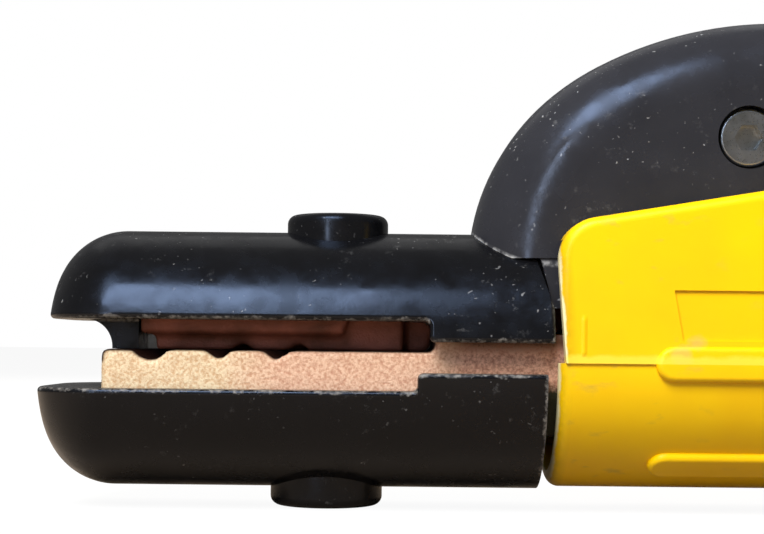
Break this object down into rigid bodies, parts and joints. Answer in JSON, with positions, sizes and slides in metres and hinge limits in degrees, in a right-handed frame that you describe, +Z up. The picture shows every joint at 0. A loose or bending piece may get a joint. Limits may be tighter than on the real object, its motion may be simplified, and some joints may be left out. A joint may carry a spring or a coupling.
{
  "type": "welding electrode holder",
  "caption": "Insulated jaw-type welding electrode holder: grooved copper jaws in black half-round covers, a sprung hump lever and a round ribbed two-shell handle.",
  "frame": {"origin": "mouth of the cable socket, on its axis", "axes": "+X along the socket's axis towards the cable, away from the jaws; +Z up towards the lever; +Y to the right seen from the cable end looking towards the jaws"},
  "size_m": [0.241, 0.0434, 0.0799],
  "materials": {
    "cast_copper": "sand cast, matte",
    "cast_copper_shaded": "sand cast, dull",
    "black_thermoset": "compression moulded, satin",
    "black_guard": "moulded, satin, dusty",
    "black_screw_head": "moulded, satin",
    "plated_steel": "zinc plated",
    "ground_steel": "ground",
    "spring_steel": "oiled",
    "blackened_steel": "black oxide",
    "sheet_copper": "rolled",
    "brass_insert": "turned",
    "white_nylon": "moulded",
    "black_rubber": "moulded",
    "yellow_nylon": "injection moulded, semi-gloss"
  },
  "bodies": {
    "handle": {"jaw_body": "cast_copper", "lower_jaw_cover": "black_thermoset", "lower_cover_screw_head": "black_screw_head", "lower_cover_screw_stud": "plated_steel", "pivot_pin": "ground_steel", "pivot_washers": "plated_steel", "pivot_retaining_rings": "spring_steel", "lower_spring_seat": "plated_steel", "closing_spring": "spring_steel", "open_stop_pad": "black_rubber", "handle_upper_shell": "yellow_nylon", "handle_lower_shell": "yellow_nylon", "front_shell_screws": "plated_steel", "rear_shell_screws": "plated_steel", "front_shell_inserts": "brass_insert", "rear_shell_inserts": "brass_insert", "cable_sleeve": "black_rubber"},
    "lever": {"upper_jaw": "cast_copper_shaded", "upper_jaw_cover": "black_thermoset", "upper_cover_screw_head": "black_screw_head", "upper_cover_screw_stud": "plated_steel", "lever_guard": "black_guard", "guard_screw": "plated_steel", "guard_nut": "plated_steel", "pivot_bush": "white_nylon", "upper_spring_seat": "plated_steel"},
    "pressure_plate": {"cable_pressure_plate": "sheet_copper"},
    "front_screw": {"front_set_screw": "blackened_steel"},
    "rear_screw": {"rear_set_screw": "blackened_steel"}
  },
  "joints": [
    {"name": "lever_pivot", "type": "hinge", "parent": "handle", "child": "lever", "pos_m": [-0.077, 0, 0.008], "axis": [0, 1, 0], "range_deg": [0, 14], "stiffness_Nm_per_rad": 6, "springref_deg": -22.92, "deforming": ["closing_spring"]},
    {"name": "pressure_plate_slide", "type": "slide", "parent": "handle", "child": "pressure_plate", "axis": [0, 0, 1], "range_m": [0, 0.004]},
    {"name": "front_set_screw_travel", "type": "slide", "parent": "handle", "child": "front_screw", "axis": [0, 0, 1], "range_m": [0, 0.004]},
    {"name": "rear_set_screw_travel", "type": "slide", "parent": "handle", "child": "rear_screw", "axis": [0, 0, 1], "range_m": [0, 0.004]}
  ],
  "couplings": [
    {"joint": "front_set_screw_travel", "follows": "pressure_plate_slide", "ratio": 1},
    {"joint": "rear_set_screw_travel", "follows": "pressure_plate_slide", "ratio": 1}
  ]
}
